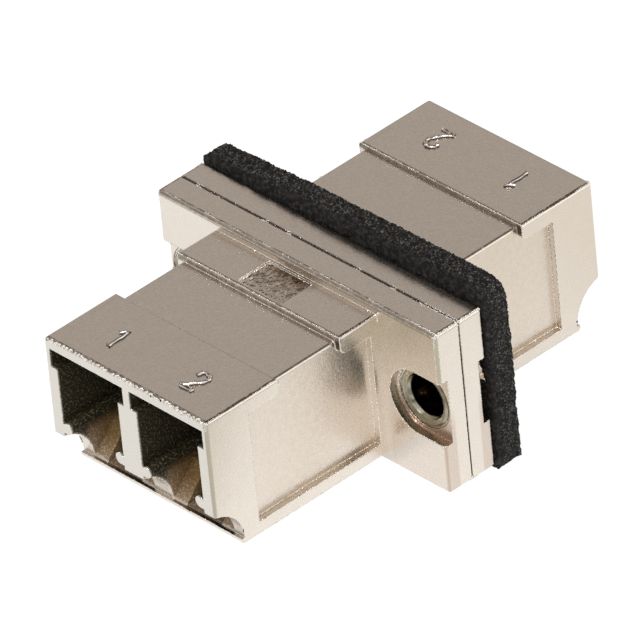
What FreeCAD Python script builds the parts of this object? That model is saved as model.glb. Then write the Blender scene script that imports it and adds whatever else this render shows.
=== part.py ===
"""Duplex LC fibre adapter with a panel flange.

Two identical die-cast half housings meet at the middle of the flange, where two eyelets hold
them together. Each half has two ports. Between the halves, two pairs of sleeve holders carry
the two split sleeves that line up the ferrules. A foam gasket lies behind the flange.

Frame, in millimetres: X along the flange, +Y along the fibres to the panel side, +Z up.
Origin: midway between the two fixing holes, on the plane where the half housings meet.
"""
import FreeCAD, Part
import os
from FreeCAD import Vector

# ---- driving dimensions ----
PORT_PITCH = 6.25           # between the two fibre axes of a duplex LC plug
FIBRE_Z = 1.45              # fibre axes above the fixing holes
FERRULE_DIAMETER = 1.25

HALF_LENGTH = 14.6          # parting plane to mouth
BODY_WIDTH = 12.7
END_TOP = 4.5               # heights are measured from the fixing holes
MIDDLE_TOP = 4.23
COLLAR_TOP = 4.62
BODY_BOTTOM = -4.4
END_START = 9.2             # distances along the fibres are measured from the parting plane
COLLAR_END = 4.6

FLANGE_WIDTH = 21.8
FLANGE_HEIGHT = 10.5
PLATE = 1.77                # each half's share of the flange thickness
FLANGE_CORNER = 0.22
FLANGE_EDGE = 0.17          # chamfer of each plate's outer face
HOLE_SPACING = 17.8

CHANNEL = 4.8               # the plug's channel, wide
CHANNEL_TOP = 3.85
BARRIER = 1.9               # where the channel ends
MOUTH_SLOT_WIDTH = 5.75
MOUTH_SLOT_BOTTOM = 2.7
MOUTH_SLOT_TOP = 3.9
MOUTH_SLOT_DEPTH = 2.6

GASKET_LEFT = -10.97        # the seal reaches past the flange, and its top edge is bowed
GASKET_RIGHT = 11.15
GASKET_BOTTOM = -5.6
GASKET_TOP_AT_LEFT = 5.63
GASKET_TOP_AT_MIDDLE = 6.03
GASKET_TOP_AT_RIGHT = 6.1
GASKET_CORNER = 0.3
GASKET_TORN_CORNER = 0.2    # at the top left
GASKET_ROUND_CORNER = 1.2   # at the top right
GASKET_THICKNESS = 1.8
GASKET_HOLE = 1.6
GASKET_GAP = 0.15           # between the body and the window's edge

SOFT_EDGE = 0.18            # rounding of the casting's outer edges
PARTING_GROOVE = 0.07       # chamfer of the flange where the halves meet

# ---- derived places ----
PORTS = {"a": -PORT_PITCH / 2, "b": PORT_PITCH / 2}
SIDES = (-1, 1)
HALF_BODY = BODY_WIDTH / 2
HALF_FLANGE = FLANGE_WIDTH / 2
FLANGE_BOTTOM = -FLANGE_HEIGHT / 2
HOLE_X = HOLE_SPACING / 2
MOUTH = -HALF_LENGTH

# finger notch under each mouth: a quarter round whose axis lies a little in front of the mouth
NOTCH_RADIUS = 2.4
NOTCH_AXIS_Y = MOUTH - 0.45
NOTCH_AXIS_Z = BODY_BOTTOM + 0.3
NOTCH_BACK = NOTCH_AXIS_Y + NOTCH_RADIUS
LIP_REACH = 0.2             # how far the bottom plate runs on into the notch
LIP_FRONT = NOTCH_BACK - LIP_REACH
LIP_ROUND = 0.15

# shallow recess in each side wall
RECESS_DEPTH = 0.4
RECESS_FRONT = -11.5
RECESS_BACK = -2.37
RECESS_BOTTOM = -3.65
RECESS_TOP = 3.5            # under the proud strips of the end section and the collar
STRIP_ROUND = 0.4           # lower corner of each strip

# shallow panel sunk into the collar's top
PANEL_X = (-1.9, 1.6)
PANEL_Y = (-4.33, -1.92)
PANEL_DEPTH = 0.15
PANEL_CORNER = 0.2

# rails that carry the plug, and the latch space below them
RAIL_REACH = 0.65
RAIL_TOP = -0.9
RAIL_BOTTOM = -1.5
RAIL_TIP = 0.3
RAIL_BEAD = 0.14            # how much higher a rail is along its tip
LATCH_FLOOR = BODY_BOTTOM + 0.28
LATCH_BACK = -5.0
CATCH_WIDTH = 1.03
CATCH_RISE = 1.8
CATCH_LAND = 0.4
SINK = 0.1                  # how deep an added form runs into the wall that carries it

FIT_GAP = 0.02              # radial gap between a piece and its seat

# sleeve holders, and the sleeves that float in them between the two inner lips
SLEEVE_LENGTH = 6.6
SLEEVE_RADIUS = 0.81
SLEEVE_SLIT = 0.3
SLEEVE_END_PLAY = 0.15
HOLDER_RADIUS = 1.45
HOLDER_BORE = SLEEVE_RADIUS + FIT_GAP
HOLDER_LIP = 0.6
HOLDER_LIP_BORE = 0.7
HOLDER_FLANGE_RADIUS = 2.25
HOLDER_FLANGE = 0.85
HOLDER_LEAD_IN = 0.25

# eyelets, in pockets that leave a thinner plate round each hole
POCKET_RADIUS = 2.05
POCKET_DROP = 0.08          # how far its middle lies below the hole's
POCKET_DEPTH = 0.6
POCKET_FLOOR = PLATE - POCKET_DEPTH
SEAT_RADIUS = 1.93
SEAT_DEPTH = 0.12
SEAT_FLOOR = POCKET_FLOOR - SEAT_DEPTH
EYELET_BORE = 1.27
EYELET_RADIUS = 1.5
EYELET_HEAD = 1.8
# funnel and rolled rim, as (radius, rise above the seat's floor)
EYELET_RIM = [(EYELET_BORE, -0.15), (1.42, 0.07), (1.66, 0.17), (EYELET_HEAD, 0.1),
              (EYELET_HEAD, 0.0), (EYELET_RADIUS, 0.0)]
PETALS = 4                  # the lip behind splits as it is rolled over
PETAL_SLIT = 0.14

OVERRUN = 1.0               # how far a cutting tool runs past the face it opens


def block(x_span, y_span, z_span):
    """A box given by its three spans."""
    (x0, x1), (y0, y1), (z0, z1) = x_span, y_span, z_span
    return Part.makeBox(x1 - x0, y1 - y0, z1 - z0, Vector(x0, y0, z0))


def rod(radius, y_span, x=0.0, z=0.0):
    """A cylinder along Y."""
    return Part.makeCylinder(radius, y_span[1] - y_span[0], Vector(x, y_span[0], z), Vector(0, 1, 0))


def face_of(points):
    """A flat face with straight edges."""
    return Part.Face(Part.makePolygon(points + points[:1]))


def edges_near(shape, test):
    """The edges whose middle passes the test."""
    found = []
    for edge in shape.Edges:
        middle = edge.valueAt((edge.FirstParameter + edge.LastParameter) / 2)
        if test(middle):
            found.append(edge)
    return found


def near(value, target):
    return abs(value - target) < 1e-3


# ---- half housing ----
def body_block():
    """The body's outside: end section, lower middle and collar in one side profile."""
    profile = [(0, BODY_BOTTOM), (MOUTH, BODY_BOTTOM), (MOUTH, END_TOP), (-END_START, END_TOP),
               (-END_START, MIDDLE_TOP), (-COLLAR_END, MIDDLE_TOP), (-COLLAR_END, COLLAR_TOP),
               (0, COLLAR_TOP)]
    side = face_of([Vector(-HALF_BODY, y, z) for y, z in profile])
    return side.extrude(Vector(BODY_WIDTH, 0, 0))


def side_recess(side):
    """The recess in one side wall, open at the top over the middle section."""
    top = COLLAR_TOP + OVERRUN
    outline = [(RECESS_FRONT, RECESS_BOTTOM), (RECESS_FRONT, RECESS_TOP), (-END_START, RECESS_TOP),
               (-END_START, top), (-COLLAR_END, top), (-COLLAR_END, RECESS_TOP),
               (RECESS_BACK, RECESS_TOP), (RECESS_BACK, RECESS_BOTTOM)]
    face = face_of([Vector(side * (HALF_BODY - RECESS_DEPTH), y, z) for y, z in outline])
    tool = face.extrude(Vector(side * (RECESS_DEPTH + OVERRUN), 0, 0))
    strip_ends = edges_near(tool, lambda p: near(p.z, RECESS_TOP)
                            and (near(p.y, -END_START) or near(p.y, -COLLAR_END)))
    return tool.makeFillet(STRIP_ROUND, strip_ends)


def finger_notch():
    """The round notch that lets a finger reach the latches, above the lip of the bottom plate."""
    reach = HALF_BODY + OVERRUN
    front = NOTCH_AXIS_Y - NOTCH_RADIUS
    cylinder = Part.makeCylinder(NOTCH_RADIUS, 2 * reach, Vector(-reach, NOTCH_AXIS_Y, NOTCH_AXIS_Z),
                                 Vector(1, 0, 0))
    above_lip = block((-reach, reach), (front, NOTCH_BACK), (LATCH_FLOOR, END_TOP))
    beside_lip = block((-reach, reach), (front, LIP_FRONT), (BODY_BOTTOM - OVERRUN, NOTCH_AXIS_Z))
    return cylinder.common(above_lip).fuse(beside_lip)


def soften_body(body):
    """Round the casting's outer edges along the top and round the mouth."""
    def outer(p):
        along = near(abs(p.x), HALF_BODY) and (near(p.z, END_TOP) or near(p.z, COLLAR_TOP))
        middle = near(abs(p.x), HALF_BODY - RECESS_DEPTH) and near(p.z, MIDDLE_TOP)
        step = near(p.x, 0) and (near(p.z, END_TOP) or near(p.z, COLLAR_TOP)) and not near(p.y, 0)
        mouth = near(abs(p.x), HALF_BODY) and near(p.y, MOUTH)
        return along or middle or step or mouth
    return body.makeFillet(SOFT_EDGE, edges_near(body, outer))


def pocket_tools(side):
    """The pocket round one hole, the slot that opens it, and the seat sunk into its floor."""
    span = (-PLATE - OVERRUN, -POCKET_FLOOR)
    ends = sorted((side * HOLE_X, side * (HALF_FLANGE + OVERRUN)))
    pocket = rod(POCKET_RADIUS, span, side * HOLE_X, -POCKET_DROP)
    slot = block(ends, span, (-POCKET_RADIUS - POCKET_DROP, POCKET_RADIUS - POCKET_DROP))
    seat = rod(SEAT_RADIUS, (-PLATE, -SEAT_FLOOR), side * HOLE_X)
    return [pocket.fuse(slot), seat]


def flange_plate():
    """One half of the flange, with a pocket round each hole that is open at the flange's end."""
    plate = block((-HALF_FLANGE, HALF_FLANGE), (-PLATE, 0), (FLANGE_BOTTOM, -FLANGE_BOTTOM))
    plate = plate.makeFillet(FLANGE_CORNER, edges_near(plate, lambda p: near(p.y, -PLATE / 2)))
    plate = plate.makeChamfer(FLANGE_EDGE, edges_near(plate, lambda p: near(p.y, -PLATE)))
    plate = plate.makeChamfer(PARTING_GROOVE, edges_near(plate, lambda p: near(p.y, 0)))
    for side in SIDES:
        hole = rod(EYELET_RADIUS + FIT_GAP, (-PLATE - OVERRUN, OVERRUN), side * HOLE_X)
        plate = plate.cut([*pocket_tools(side), hole])
    return plate


def port_section(x):
    """The port's cross-section at the mouth plane: plug channel, rails and latch space."""
    half = CHANNEL / 2
    rail = half - RAIL_REACH
    bead = RAIL_TOP + RAIL_BEAD
    tip_z = (bead + RAIL_BOTTOM) / 2

    def at(dx, z):
        return Vector(x + dx, 0, z)

    def rail_edges(side):
        root = side * half
        neck = side * (rail + 2 * RAIL_TIP)
        start = side * (rail + RAIL_TIP)
        return [Part.LineSegment(at(root, RAIL_TOP), at(neck, RAIL_TOP)),
                Part.LineSegment(at(neck, RAIL_TOP), at(start, bead)),
                Part.Arc(at(start, bead), at(side * rail, tip_z), at(start, RAIL_BOTTOM)),
                Part.LineSegment(at(start, RAIL_BOTTOM), at(root, RAIL_BOTTOM)),
                Part.LineSegment(at(root, RAIL_BOTTOM), at(root, LATCH_FLOOR)),
                Part.LineSegment(at(root, CHANNEL_TOP), at(root, RAIL_TOP))]

    curves = [Part.LineSegment(at(-half, CHANNEL_TOP), at(half, CHANNEL_TOP)),
              Part.LineSegment(at(-half, LATCH_FLOOR), at(half, LATCH_FLOOR))]
    curves += rail_edges(-1) + rail_edges(1)
    edges = Part.sortEdges([curve.toShape() for curve in curves])[0]
    return Part.Face(Part.Wire(edges))


def port_space(x):
    """Everything that a port takes out of the casting."""
    front = MOUTH - OVERRUN
    section = port_section(x)
    section.translate(Vector(0, front, 0))
    latch_part = section.extrude(Vector(0, LATCH_BACK - front, 0))
    half = CHANNEL / 2
    channel = block((x - half, x + half), (LATCH_BACK, -BARRIER), (RAIL_TOP, CHANNEL_TOP))
    wide = MOUTH_SLOT_WIDTH / 2
    slot = block((x - wide, x + wide), (front, MOUTH + MOUTH_SLOT_DEPTH),
                 (MOUTH_SLOT_BOTTOM, MOUTH_SLOT_TOP))
    return latch_part.fuse([channel, slot])


def latch_catches(x):
    """The two ramps that press the latch in and then hold it behind their back faces."""
    top = LATCH_FLOOR + CATCH_RISE
    ramp_end = NOTCH_BACK + CATCH_RISE
    foot = LATCH_FLOOR - SINK
    profile = [(NOTCH_BACK, foot), (NOTCH_BACK, LATCH_FLOOR), (ramp_end, top),
               (ramp_end + CATCH_LAND, top), (ramp_end + CATCH_LAND, foot)]
    catches = []
    for side in SIDES:
        wall = x + side * (CHANNEL / 2 + SINK)
        face = face_of([Vector(wall, y, z) for y, z in profile])
        catches.append(face.extrude(Vector(-side * (CATCH_WIDTH + SINK), 0, 0)))
    return catches


def holder_seat(x):
    """The stepped hole in the barrier that takes one sleeve holder."""
    tube = rod(HOLDER_RADIUS + FIT_GAP, (-BARRIER - OVERRUN, OVERRUN), x, FIBRE_Z)
    counterbore = rod(HOLDER_FLANGE_RADIUS + FIT_GAP, (-HOLDER_FLANGE, OVERRUN), x, FIBRE_Z)
    return tube.fuse(counterbore)


def name_panel():
    """The shallow panel sunk into the collar's top."""
    panel = block(PANEL_X, PANEL_Y, (COLLAR_TOP - PANEL_DEPTH, COLLAR_TOP + OVERRUN))
    return panel.makeFillet(PANEL_CORNER, edges_near(panel, lambda p: near(p.z, COLLAR_TOP
                                                     + (OVERRUN - PANEL_DEPTH) / 2)))


def half_housing():
    """The front half housing, with its mouths at -Y."""
    body = body_block().cut([side_recess(-1), side_recess(1)])
    body = soften_body(body)
    body = body.cut([finger_notch(), name_panel()])
    body = body.makeFillet(LIP_ROUND, edges_near(body, lambda p: near(p.y, LIP_FRONT)
                                                 and near(p.z, BODY_BOTTOM)))
    casting = body.fuse(flange_plate())
    for x in PORTS.values():
        casting = casting.cut(port_space(x)).fuse(latch_catches(x)).cut(holder_seat(x))
    return casting.removeSplitter()


# ---- pieces inside and round the housings ----
def revolved(points):
    """A solid turned about the Y axis from (radius, y) points."""
    face = face_of([Vector(radius, y, 0) for radius, y in points])
    return face.revolve(Vector(0, 0, 0), Vector(0, 1, 0), 360)


def sleeve_holder(x):
    """The front holder of one port: a flange at the parting plane, and a tube whose tapered inner
    lip leads the ferrule in and keeps the sleeve from coming out."""
    stop = -SLEEVE_LENGTH / 2 - SLEEVE_END_PLAY
    tip = stop - HOLDER_LIP
    profile = [(HOLDER_BORE, 0), (HOLDER_FLANGE_RADIUS, 0), (HOLDER_FLANGE_RADIUS, -HOLDER_FLANGE),
               (HOLDER_RADIUS, -HOLDER_FLANGE), (HOLDER_RADIUS, tip),
               (HOLDER_LIP_BORE + HOLDER_LEAD_IN, tip), (HOLDER_LIP_BORE, stop), (HOLDER_BORE, stop)]
    holder = revolved(profile)
    holder.translate(Vector(x, 0, FIBRE_Z))
    return holder


def split_sleeve(x):
    """The ceramic tube that lines up two ferrules, split along its top."""
    span = (-SLEEVE_LENGTH / 2, SLEEVE_LENGTH / 2)
    tube = rod(SLEEVE_RADIUS, span, x, FIBRE_Z).cut(rod(FERRULE_DIAMETER / 2, span, x, FIBRE_Z))
    half = SLEEVE_SLIT / 2
    slit = block((x - half, x + half), span, (FIBRE_Z, FIBRE_Z + 2 * SLEEVE_RADIUS))
    return tube.cut(slit)


def eyelet(x):
    """A hollow rivet: a funnel-shaped head in front and a lip behind, split where it was rolled."""
    front = [(radius, -SEAT_FLOOR - rise) for radius, rise in EYELET_RIM]
    back = [(radius, SEAT_FLOOR + rise) for radius, rise in reversed(EYELET_RIM)]
    rivet = revolved(front + back)
    slit = block((EYELET_BORE + PETAL_SLIT, EYELET_HEAD + OVERRUN), (SEAT_FLOOR, PLATE),
                 (-PETAL_SLIT / 2, PETAL_SLIT / 2))
    slits = []
    for petal in range(PETALS):
        cut = slit.copy()
        cut.rotate(Vector(0, 0, 0), Vector(0, 1, 0), 360 * (petal + 0.5) / PETALS)
        slits.append(cut)
    rivet = rivet.cut(slits)
    rivet.translate(Vector(x, 0, 0))
    return rivet


def gasket_blank():
    """The seal's outline as a solid plate, with its bowed top edge and its own round for each corner."""
    corners = [(GASKET_LEFT, GASKET_TOP_AT_LEFT, GASKET_TORN_CORNER),
               (GASKET_LEFT, GASKET_BOTTOM, GASKET_CORNER),
               (GASKET_RIGHT, GASKET_BOTTOM, GASKET_CORNER),
               (GASKET_RIGHT, GASKET_TOP_AT_RIGHT, GASKET_ROUND_CORNER)]
    points = [Vector(x, PLATE, z) for x, z, radius in corners]
    top = Part.Arc(points[-1], Vector(0, PLATE, GASKET_TOP_AT_MIDDLE), points[0]).toShape()
    face = Part.Face(Part.Wire([*Part.makePolygon(points).Edges, top]))
    plate = face.extrude(Vector(0, GASKET_THICKNESS, 0))
    for x, z, radius in corners:
        plate = plate.makeFillet(radius, edges_near(plate, lambda p: near(p.x, x) and near(p.z, z)
                                                    and not near(p.y, PLATE)
                                                    and not near(p.y, PLATE + GASKET_THICKNESS)))
    return plate


def panel_gasket():
    """The foam seal behind the flange, with a window for the body and a hole for each screw."""
    through = (PLATE - OVERRUN, PLATE + GASKET_THICKNESS + OVERRUN)
    half_window = HALF_BODY + GASKET_GAP
    window = block((-half_window, half_window), through,
                   (BODY_BOTTOM - GASKET_GAP, COLLAR_TOP + GASKET_GAP))
    holes = [rod(GASKET_HOLE, through, side * HOLE_X) for side in SIDES]
    return gasket_blank().cut([window] + holes)


def turned_round(shape):
    """The same piece for the rear half: half a turn about Z."""
    copy = shape.copy()
    copy.rotate(Vector(0, 0, 0), Vector(0, 0, 1), 180)
    return copy


def build():
    front = half_housing()
    parts = {
        "front_housing": front,
        "rear_housing": turned_round(front),
        "panel_gasket": panel_gasket(),
        "left_eyelet": eyelet(-HOLE_X),
        "right_eyelet": eyelet(HOLE_X),
    }
    for letter, x in PORTS.items():
        parts["split_sleeve_" + letter] = split_sleeve(x)
        parts["front_sleeve_holder_" + letter] = sleeve_holder(x)
        parts["rear_sleeve_holder_" + letter] = turned_round(sleeve_holder(-x))
    return parts


def main():
    os.makedirs("parts", exist_ok=True)
    for name, shape in build().items():
        solid = shape.Solids[0]
        solid.exportStep("parts/" + name + ".step")
        print(name, len(shape.Solids), shape.isValid(), round(shape.Volume, 3))


main()
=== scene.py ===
# %% [markdown]
# # A duplex fibre adapter
#
# This lesson dresses a small metal adapter that joins two pairs of fibre plugs through a panel.
# Two die-cast halves are nickel plated, two eyelets hold them together, and a ring of foam rubber
# seals the flange to the panel. The solids come from CAD, and all but the foam keep their shape
# here. What Blender adds is what a caster, a plater and a foam cutter add: grain, bright rough
# edges, raised port numbers, brown stains and torn foam cells. It also paints shade into the
# corners, the ports and the groove, and a few highlights.

# %% Load the frame
import math
import bmesh
import bpy
from mathutils import Matrix, Vector, noise


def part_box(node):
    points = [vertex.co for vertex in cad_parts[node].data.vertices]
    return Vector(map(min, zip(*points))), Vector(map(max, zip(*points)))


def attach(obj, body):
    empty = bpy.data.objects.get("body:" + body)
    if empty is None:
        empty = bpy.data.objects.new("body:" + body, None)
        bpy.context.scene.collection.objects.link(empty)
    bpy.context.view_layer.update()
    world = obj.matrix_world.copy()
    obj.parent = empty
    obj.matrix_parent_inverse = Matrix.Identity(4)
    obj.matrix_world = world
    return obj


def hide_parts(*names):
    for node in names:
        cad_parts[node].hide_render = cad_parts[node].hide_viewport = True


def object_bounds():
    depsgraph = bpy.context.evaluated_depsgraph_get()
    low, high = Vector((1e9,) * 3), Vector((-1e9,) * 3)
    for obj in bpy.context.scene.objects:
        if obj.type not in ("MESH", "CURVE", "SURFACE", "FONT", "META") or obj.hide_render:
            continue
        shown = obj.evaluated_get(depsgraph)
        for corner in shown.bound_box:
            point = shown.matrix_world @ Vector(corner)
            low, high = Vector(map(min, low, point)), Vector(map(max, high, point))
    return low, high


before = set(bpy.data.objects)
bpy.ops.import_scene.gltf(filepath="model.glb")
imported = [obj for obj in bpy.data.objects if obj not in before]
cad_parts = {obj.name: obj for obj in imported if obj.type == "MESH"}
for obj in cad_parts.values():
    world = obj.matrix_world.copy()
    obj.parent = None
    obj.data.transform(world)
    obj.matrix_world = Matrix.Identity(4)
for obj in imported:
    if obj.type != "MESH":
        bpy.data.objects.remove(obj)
bpy.context.scene.view_settings.view_transform = "Standard"
cad_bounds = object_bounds()
MM = 0.001
print("CAD nodes:", sorted(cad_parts))

# %% [markdown]
# ## Small helpers
#
# Colours are written as sRGB hex, because that is how a colour is read off a screen or a chart, and
# one function turns them to the linear values that shaders work in. One more function adds a node,
# sets its properties, and sets or links its inputs, so that a material reads as a list of steps.

# %% Colour and node helpers
def linear(hex_colour):
    """A colour such as "#d8cfc3" as linear red, green, blue and alpha."""
    channels = [int(hex_colour[i:i + 2], 16) / 255 for i in (1, 3, 5)]
    curve = [c / 12.92 if c <= 0.04045 else ((c + 0.055) / 1.055) ** 2.4 for c in channels]
    return (*curve, 1.0)


def give(tree, node, inputs):
    """Set the inputs of a node. Each is a plain value, or a socket to link."""
    for name, value in inputs.items():
        if isinstance(value, bpy.types.NodeSocket):
            tree.links.new(value, node.inputs[name])
        else:
            node.inputs[name].default_value = value


def add(tree, kind, inputs=None, **settings):
    """Add one node with its properties and inputs."""
    node = tree.nodes.new(kind)
    for name, value in settings.items():
        setattr(node, name, value)
    give(tree, node, inputs or {})
    return node


def first_of(tree, kind, inputs=None, **settings):
    """The first output of a new node."""
    return add(tree, kind, inputs, **settings).outputs[0]


def math_of(tree, operation, a, b=0.0, c=0.0):
    """The result of one Math node."""
    return first_of(tree, "ShaderNodeMath", {0: a, 1: b, 2: c}, operation=operation)


def vector_of(tree, operation, a, b):
    """The vector that one Vector Math node gives."""
    return first_of(tree, "ShaderNodeVectorMath", {0: a, 1: b}, operation=operation)


def number_of(tree, operation, a, b):
    """The number that a dot product or a distance gives."""
    return add(tree, "ShaderNodeVectorMath", {0: a, 1: b}, operation=operation).outputs["Value"]


def scaled(tree, vector, factor):
    """A vector times a number."""
    return first_of(tree, "ShaderNodeVectorMath", {0: vector, "Scale": factor}, operation="SCALE")


def parts_of(tree, vector):
    """The three parts of a vector."""
    return add(tree, "ShaderNodeSeparateXYZ", {0: vector}).outputs[:3]


# %% Material helpers
def new_material(name):
    """A material with an empty Principled surface, and its node tree and shader."""
    material = bpy.data.materials.new(name)
    material.use_nodes = True
    return material, material.node_tree, material.node_tree.nodes["Principled BSDF"]


def in_millimetres(tree):
    """Object coordinates in millimetres."""
    return scaled(tree, add(tree, "ShaderNodeTexCoord").outputs["Object"], 1 / MM)


def mixed(tree, share, first, second):
    """A colour part of the way from the first to the second."""
    node = add(tree, "ShaderNodeMix", {0: share, 6: first, 7: second}, data_type="RGBA")
    return node.outputs[2]


def blend(tree, share, first, second):
    """A number part of the way from the first to the second."""
    return first_of(tree, "ShaderNodeMix", {0: share, 2: first, 3: second}, data_type="FLOAT")


def cloudy(tree, place, size, detail=2.0, stretch=(1, 1, 1)):
    """Noise from 0 to 1 whose clouds are about size millimetres across."""
    stretched = vector_of(tree, "MULTIPLY", place, stretch)
    return first_of(tree, "ShaderNodeTexNoise", {"Vector": stretched, "Scale": 1 / size,
                                                 "Detail": detail})


def bump(tree, height, strength, distance, normal=None):
    """A normal tilted by a height. The distance is in millimetres."""
    inputs = {"Height": height, "Strength": strength, "Distance": distance * MM}
    if normal is not None:
        inputs["Normal"] = normal
    return first_of(tree, "ShaderNodeBump", inputs)


# %% Mask helpers
def remap(tree, value, start, end, low=0.0, high=1.0):
    """Follow a value from start to end, and stay at low or high outside them."""
    return first_of(tree, "ShaderNodeMapRange", {"Value": value, "From Min": start, "From Max": end,
                                                 "To Min": low, "To Max": high})


def product(tree, first, *others):
    """Masks multiplied together: 1 only where all of them are 1."""
    for other in others:
        first = math_of(tree, "MULTIPLY", first, other)
    return first


def either(tree, first, *others):
    """Masks laid over each other: the strongest at every place."""
    for other in others:
        first = math_of(tree, "MAXIMUM", first, other)
    return first


def within(tree, value, low, high, soft=0.05):
    """1 between low and high, with edges that fade over a soft distance."""
    rise = remap(tree, value, low - soft, low + soft)
    return product(tree, rise, remap(tree, value, high + soft, high - soft))


# %% [markdown]
# ## Camera
#
# A long lens from well above looks down on one mouth and one side. The camera leans a few degrees,
# so the long edges run down to the left. The place is worked out from angles and a distance, which
# is easier to adjust than a raw position.

# %% Camera
CAMERA_AZIMUTH = math.radians(49.281)
CAMERA_ELEVATION = math.radians(35.081)
CAMERA_ROLL = math.radians(-5.733)
CAMERA_DISTANCE = 736.9 * MM
CAMERA_LENS = 761.7
AIM = Vector((-0.381, -0.026, 0.287)) * MM


def place_camera():
    azimuth, elevation = CAMERA_AZIMUTH, CAMERA_ELEVATION
    back = Vector((math.sin(azimuth) * math.cos(elevation), -math.cos(azimuth) * math.cos(elevation),
                   math.sin(elevation)))
    level = Vector((math.cos(azimuth), math.sin(azimuth), 0))
    upright = back.cross(level)
    right = math.cos(CAMERA_ROLL) * level + math.sin(CAMERA_ROLL) * upright
    up = back.cross(right)
    data = bpy.data.cameras.new("camera")
    data.lens = CAMERA_LENS
    data.clip_start = 0.05
    data.clip_end = 10
    camera = bpy.data.objects.new("camera", data)
    bpy.context.scene.collection.objects.link(camera)
    turn = Matrix((right, up, back)).transposed().to_4x4()
    camera.matrix_world = Matrix.Translation(AIM + CAMERA_DISTANCE * back) @ turn
    bpy.context.scene.camera = camera


place_camera()

# %% [markdown]
# ## Light and floor
#
# Bright metal has almost no colour of its own: it shows what stands round it. Here a white table
# lies under the part and a grey ceiling hangs over it. The upright faces that this camera sees mirror
# the table, so they look pale, and the top faces mirror the ceiling, so they look darker. The room
# also has dark beams, a dimmer side with a soft light high over it, and a tall window, which give the
# rounded edges their fine dark and light lines. The table is white all over to the eye, but in
# reflections it is a little dimmer and has three zones of its own. A broad lamp lights the foam and
# the table, and a small one puts glints on the beads of nickel.

# %% The room
WHITE = "#ffffff"
CEILING = "#bcb4af"
BEAM = "#2a241e"            # dark beams round a skylight: rounded edges show them as a dark line
FAR_WALL = "#8f877e"
DIM_WALL = "#958d84"
DIM_SIDE = (0.757, -0.653, 0)       # level, from the adapter towards the darker side of the room
WINDOW_SIDE = (0.78, 0.62, 0)       # and towards a tall window
WINDOW_LIGHT = 1.5                  # which is brighter than the white walls


def room_colour(tree, direction):
    """The colour of the room in one direction. Heights are sines of the elevation."""
    height = parts_of(tree, direction)[2]
    toward = number_of(tree, "DOT_PRODUCT", direction, DIM_SIDE)
    sideways = number_of(tree, "DOT_PRODUCT", direction, WINDOW_SIDE)
    glass = (WINDOW_LIGHT, WINDOW_LIGHT, WINDOW_LIGHT, 1)
    room = mixed(tree, remap(tree, height, 0.1, 0.42), linear(WHITE), linear(CEILING))
    zones = (
        (linear(FAR_WALL), (toward, -0.35, -0.6), (height, 0.5, 0.3)),
        (linear(DIM_WALL), (toward, 0.4, 0.6), (height, 0.25, 0.35)),
        (linear(BEAM), (height, 0.67, 0.73), (height, 0.95, 0.92)),
        (linear(WHITE), (toward, 0.08, 0.2), (height, 0.5, 0.56)),      # the soft light high up
        (glass, (sideways, 0.6, 0.7), (height, 0.52, 0.44)),
    )
    for colour, one_mask, other_mask in zones:      # a zone is where its two fading masks overlap
        zone = product(tree, remap(tree, *one_mask), remap(tree, *other_mask))
        room = mixed(tree, zone, room, colour)
    return room


def light_the_room():
    world = bpy.data.worlds.new("studio")
    bpy.context.scene.world = world
    world.use_nodes = True
    tree = world.node_tree
    tree.nodes.clear()
    room = room_colour(tree, add(tree, "ShaderNodeTexCoord").outputs["Generated"])
    seen = add(tree, "ShaderNodeLightPath").outputs["Is Camera Ray"]
    colour = mixed(tree, seen, room, linear(WHITE))
    background = first_of(tree, "ShaderNodeBackground", {"Color": colour, "Strength": 1.0})
    add(tree, "ShaderNodeOutputWorld", {"Surface": background})


light_the_room()

# %% Lamps
def hang_lamp(name, place, size, power, mirrored):
    """A square lamp that points at the adapter. Its place and size are in metres."""
    data = bpy.data.lights.new(name, "AREA")
    data.size = size
    data.energy = power
    lamp = bpy.data.objects.new(name, data)
    bpy.context.scene.collection.objects.link(lamp)
    lamp.location = place
    lamp.visible_glossy = mirrored
    lamp.rotation_euler = (-Vector(place)).to_track_quat("-Z", "Y").to_euler()


hang_lamp("broad_lamp", (0.25, -0.45, 0.5), 0.4, 4.5, mirrored=False)     # the foam and the table
hang_lamp("spark_lamp", (0.1, -0.2, 0.65), 0.15, 0.9, mirrored=True)      # glints on the beads

# %% Table
TABLE_SIZE = 4              # in metres
TABLE_PAINT = "#f7f7f7"
TABLE_GLOW = 0.92           # how much of the table's look is its own white
MIRRORED_GLOW = 0.72        # and how much in a reflection, which keeps the shadow under the adapter
TABLE_LIGHT = 1.05          # strength of that white
MIRRORED_CHANGE = -0.13     # what a reflection adds to it
# zones in reflections: a colour, and the mm from the adapter's middle where it starts and is full
BACK_TABLE = ("#e9e5db", 9, 20)         # towards the rear
DIM_TABLE = ("#9a9679", 15, 17.5)       # towards the dimmer side of the room
FAR_TABLE = (FAR_WALL, -40, -80)        # away from it


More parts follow.
